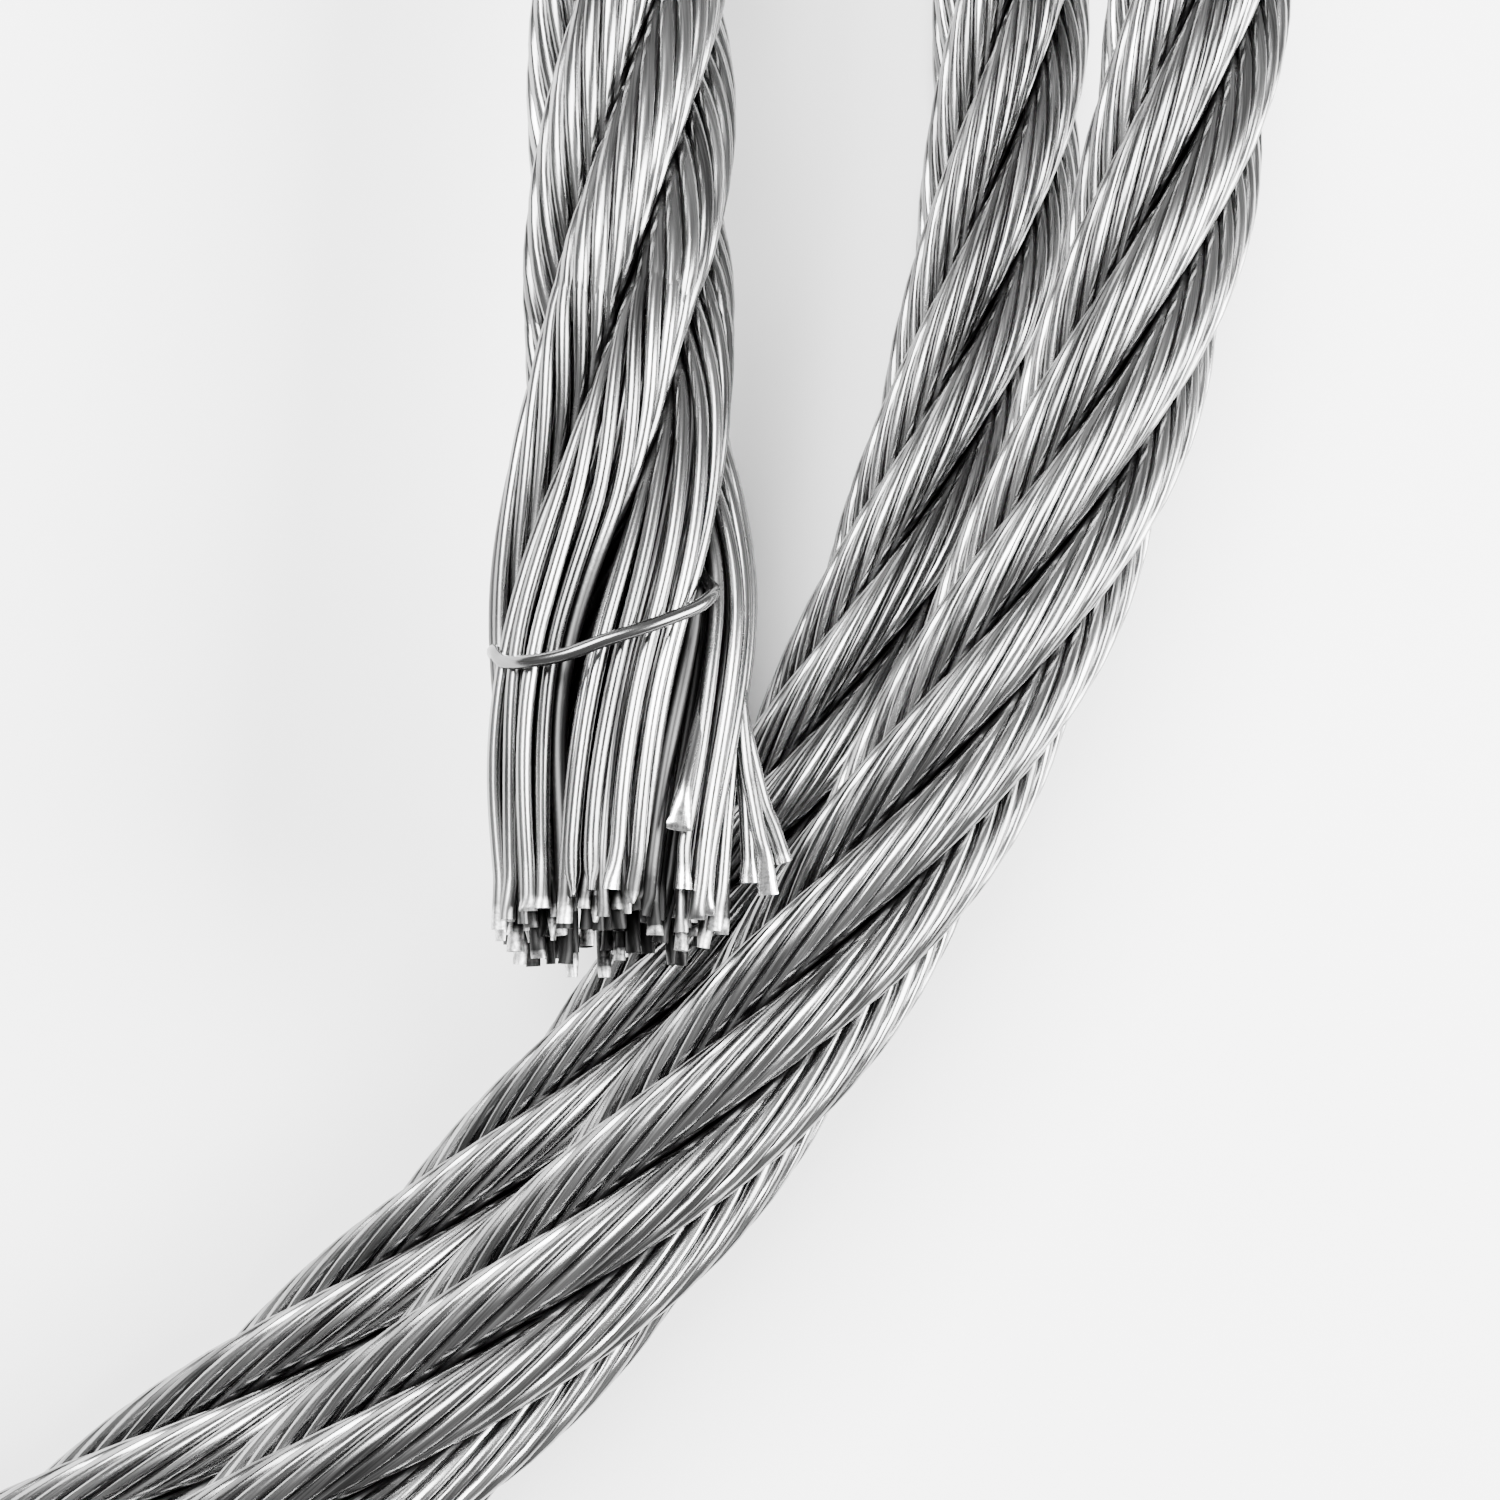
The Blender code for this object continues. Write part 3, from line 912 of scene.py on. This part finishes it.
def add_loose_wires(strand, tree, finish, random):
    """The wires of one strand's last stretch, each by itself."""
    line = strand.line
    bundle = WireBundle()
    ring, wire = wire_sizes(STRAND_RADIUS, OUTER_WIRES)
    cut_end = line.length - STRAND_SHORTER[strand.number]
    kinds = [(ring, 1.0, 2 * math.pi * i / OUTER_WIRES, LOOSE_LENGTH) for i in range(OUTER_WIRES)]
    kinds += [(ring * INNER_SHARE, INNER_THICKNESS, 2 * math.pi * (i + 0.5) / INNER_WIRES, INNER_LENGTH)
              for i in range(INNER_WIRES)]
    kinds.append((0.0, CENTRE_THICKNESS, 0.0, INNER_LENGTH))
    for number, (reach, thickness, angle, length) in enumerate(kinds):
        last = np.array([cut_end])
        final = strand.turned(last, angle)[0] * reach
        rise = float(np.dot(final, line.at(last)[3][0]))
        inner = 1.0 - reach / ring
        end = cut_end - CUT_SLANT * rise - random.uniform(0.0, RAGGED)
        along = wire_along(line, line.length - length - LOOSE_OVERLAP, min(end, line.length + PAST_CUT))
        axis, direction, sideways, upward = line.at(along)
        sunk = swollen(line, along) * (1.0 - SUNK_SHARE * (1.0 - risen(along - along[0])))
        offset = strand.turned(along, angle) * reach * sunk[:, None]
        share = loose_share(line, along)[:, None]
        fan = fanned(line, along)[:, None]
        middle = strand.middle(along)
        outward = strand.outward(along)
        radial = np.sum(offset * outward, axis=1, keepdims=True)
        offset = offset * (1.0 + FLATTENED * fan) - outward * radial * (2 * FLATTENED * fan)
        across = np.sum(offset * sideways, axis=1, keepdims=True)
        move = (across * (FANNED_SPREAD[strand.number] - 1.0) + FANNED_SHIFT[strand.number]) * fan
        move = move + (across * (SPREAD_AT_CUT[strand.number] - 1.0) + SHIFT_AT_CUT[strand.number]) * share
        offset = offset + sideways * move
        drift = random.normal(0.0, WANDER, 3)
        wave = np.sin(2 * math.pi * (along / random.uniform(*WAVE_LENGTHS) + random.uniform(0.0, 1.0)))[:, None]
        points = middle + offset + (drift + random.normal(0.0, WANDER / 3, 3) * wave) * share
        past = np.maximum(along - line.length, 0.0)[:, None]
        bent = smooth(1.0 - (along[-1] - along) / BENT_LENGTH)[:, None]
        points = points + direction * past + random.normal(0.0, BENT_ENDS, 3) * bent
        turn = random.uniform(0.0, math.pi)
        thick, pinch, cut = end_shape(
            along[-1] - along, random.uniform(*CUT_SQUEEZES), random.uniform(*CUT_WIDTHS),
            random.uniform(*CUT_FACE_LENGTHS), sideways * math.cos(turn) + upward * math.sin(turn))
        low = np.sum((points - axis) * upward, axis=1)
        # Painted shade with grease on low and inner wires
        grease = smooth((GREASE_AND_SHADE_HEIGHT - low) / GREASE_AND_SHADE_FADE) * share[:, 0] + inner * INNER_GREASE_AND_SHADE
        # Painted shade with grease on the lowest wire ends at the cut, and on some at random
        below = smooth(1.0 - (along[-1] - along) / END_GREASE_AND_SHADE_LENGTH) * max(smooth((END_GREASE_AND_SHADE_HEIGHT - rise) / END_GREASE_AND_SHADE_FADE),
                                                                      random.uniform(*END_GREASE_AND_SHADE_SHARES))
        cut = cut * (1.0 - INNER_FACE_LOSS * inner) * (random.uniform(0.0, 1.0) < BRIGHT_ENDS)
        bundle.add(points, along=along, thickness=thickness * thick, pinch=pinch, cut=cut,
                   grease=np.clip(grease + END_GREASE_AND_SHADE * below, 0.0, 1.0), strand_place=middle, outward=outward,
                   seed=np.full(len(along), SEEDS_PER_STRAND * strand.number + number))
    thing = bundle.grow(f"strand_{strand.number + 1}_loose_wires", tree, wire, finish)
    return settle(thing, "strand_steel")


def smooth_route(corners, count):
    """A smooth line through corners, as a Catmull-Rom curve."""
    corners = np.array(corners)
    padded = np.concatenate(([2 * corners[0] - corners[1]], corners, [2 * corners[-1] - corners[-2]]))
    pieces = []
    for i in range(len(corners) - 1):
        a, b, c, d = padded[i:i + 4]
        t = np.linspace(0.0, 1.0, count, endpoint=False)[:, None]
        pieces.append(0.5 * (2 * b + (c - a) * t + (2 * a - 5 * b + 4 * c - d) * t ** 2
                             + (3 * b - a - 3 * c + d) * t ** 3))
    return np.concatenate(pieces + [corners[-1:]])


def routed(line, corners):
    """Points and distances along the rope of a route given from the rope's middle and the cut."""
    route = smooth_route(corners, ROUTE_POINTS_PER_CORNER)
    along = line.length - route[:, 2]
    place, _, sideways, upward = line.at(along)
    return place + sideways * route[:, :1] + upward * route[:, 1:2], along


def add_tie_wire(line, tree, finish):
    """The thin wire that holds the opened strands together."""
    points, along = routed(line, TIE_ROUTE)
    bundle = WireBundle()
    place = line.at(along)[0]
    ones = np.ones(len(points))
    bundle.add(points, along=along, thickness=ones, pinch=points * 0.0, cut=ones * 0.0, strand_place=place,
               outward=unit(points - place), seed=ones * TIE_SEED)
    thing = bundle.grow("tie_wire_loop", tree, TIE_DIAMETER / 2, finish)
    return settle(thing, "tie_steel", "tie_wire")


def add_stray_wires(line, tree, finish):
    """The wires that are bent away from the cut or end short of it in a bright face."""
    bundle = WireBundle()
    for number, (corners, squeeze, width, face) in enumerate(STRAY_WIRES):
        points, along = routed(line, corners)
        upward = line.at(along)[3]
        thick, pinch, cut = end_shape(distances(points)[-1] - distances(points), squeeze, width, face, upward)
        ones = np.ones(len(points))
        bundle.add(points, along=along, thickness=thick, pinch=pinch, cut=cut,
                   strand_place=points - upward * STRAY_DEPTH, outward=upward, seed=ones * (STRAY_SEED + number))
    thing = bundle.grow("stray_wires", tree, wire_sizes(STRAND_RADIUS, OUTER_WIRES)[1], finish)
    return settle(thing, "strand_steel")


def add_floor():
    """A plain pale floor."""
    bpy.ops.mesh.primitive_plane_add(size=FLOOR_SIZE, location=(0.0, 0.0, 0.0))
    floor = bpy.context.object
    floor.name = "floor"
    material = bpy.data.materials.new("pale_floor")
    material.use_nodes = True
    shader = material.node_tree.nodes["Principled BSDF"]
    shader.inputs["Base Color"].default_value = grey(FLOOR_TONE)
    shader.inputs["Roughness"].default_value = FLOOR_ROUGHNESS
    floor.data.materials.append(material)


def add_light(name, place, target, size, power):
    """A soft square light that faces a point."""
    data = bpy.data.lights.new(name, "AREA")
    data.shape = "SQUARE"
    data.size = size
    data.energy = power
    lamp = bpy.data.objects.new(name, data)
    bpy.context.scene.collection.objects.link(lamp)
    lamp.location = place
    lamp.rotation_euler = (Vector(target) - Vector(place)).to_track_quat("-Z", "Y").to_euler()


def add_camera():
    """The camera, close above the free end."""
    data = bpy.data.cameras.new("camera")
    data.sensor_width = SENSOR_WIDTH
    data.lens = SENSOR_WIDTH * FOCAL_PIXELS / IMAGE_SIDE
    data.clip_start = NEAREST_SEEN
    camera = bpy.data.objects.new("camera", data)
    bpy.context.scene.collection.objects.link(camera)
    forward = Vector((math.sin(CAMERA_YAW), math.sin(CAMERA_PITCH), -1.0)).normalized()
    level = forward.cross(Vector((0.0, 1.0, 0.0))).normalized()
    rise = level.cross(forward)
    right = level * math.cos(CAMERA_ROLL) + rise * math.sin(CAMERA_ROLL)
    above = rise * math.cos(CAMERA_ROLL) - level * math.sin(CAMERA_ROLL)
    turn = Matrix((right, above, -forward)).transposed().to_4x4()
    camera.matrix_world = Matrix.Translation(CAMERA_PLACE) @ turn
    bpy.context.scene.camera = camera


def add_world():
    """Grey surroundings that the steel mirrors."""
    world = bpy.data.worlds.new("studio")
    world.use_nodes = True
    background = world.node_tree.nodes["Background"]
    background.inputs["Color"].default_value = grey(SURROUNDINGS_TONE)
    background.inputs["Strength"].default_value = SURROUNDINGS_STRENGTH
    bpy.context.scene.world = world


def main():
    """Dresses the frame."""
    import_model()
    line = MiddleLine(rope_points())
    laid_tree = strand_tree()
    loose_tree = wire_tree()
    steel = drawn_steel("drawn_wire", *DRAWN_STEEL)
    core_steel = drawn_steel("core_wire", *CORE_STEEL)
    tie_steel = drawn_steel("soft_wire", *SOFT_STEEL)
    random = np.random.default_rng(SEED)
    for number in range(STRAND_COUNT):
        strand = Strand(line, number)
        add_skin(strand, laid_tree, steel)
        add_loose_wires(strand, loose_tree, steel, random)
    add_stray_wires(line, loose_tree, steel)
    add_core(line, laid_tree, core_steel)
    add_tie_wire(line, loose_tree, tie_steel)
    add_floor()
    add_world()
    middle = CAMERA_PLACE[:2] + (0.0,)
    for name, place, size, power in LIGHTS:
        add_light(name, place, middle, size, power)
    add_camera()


main()
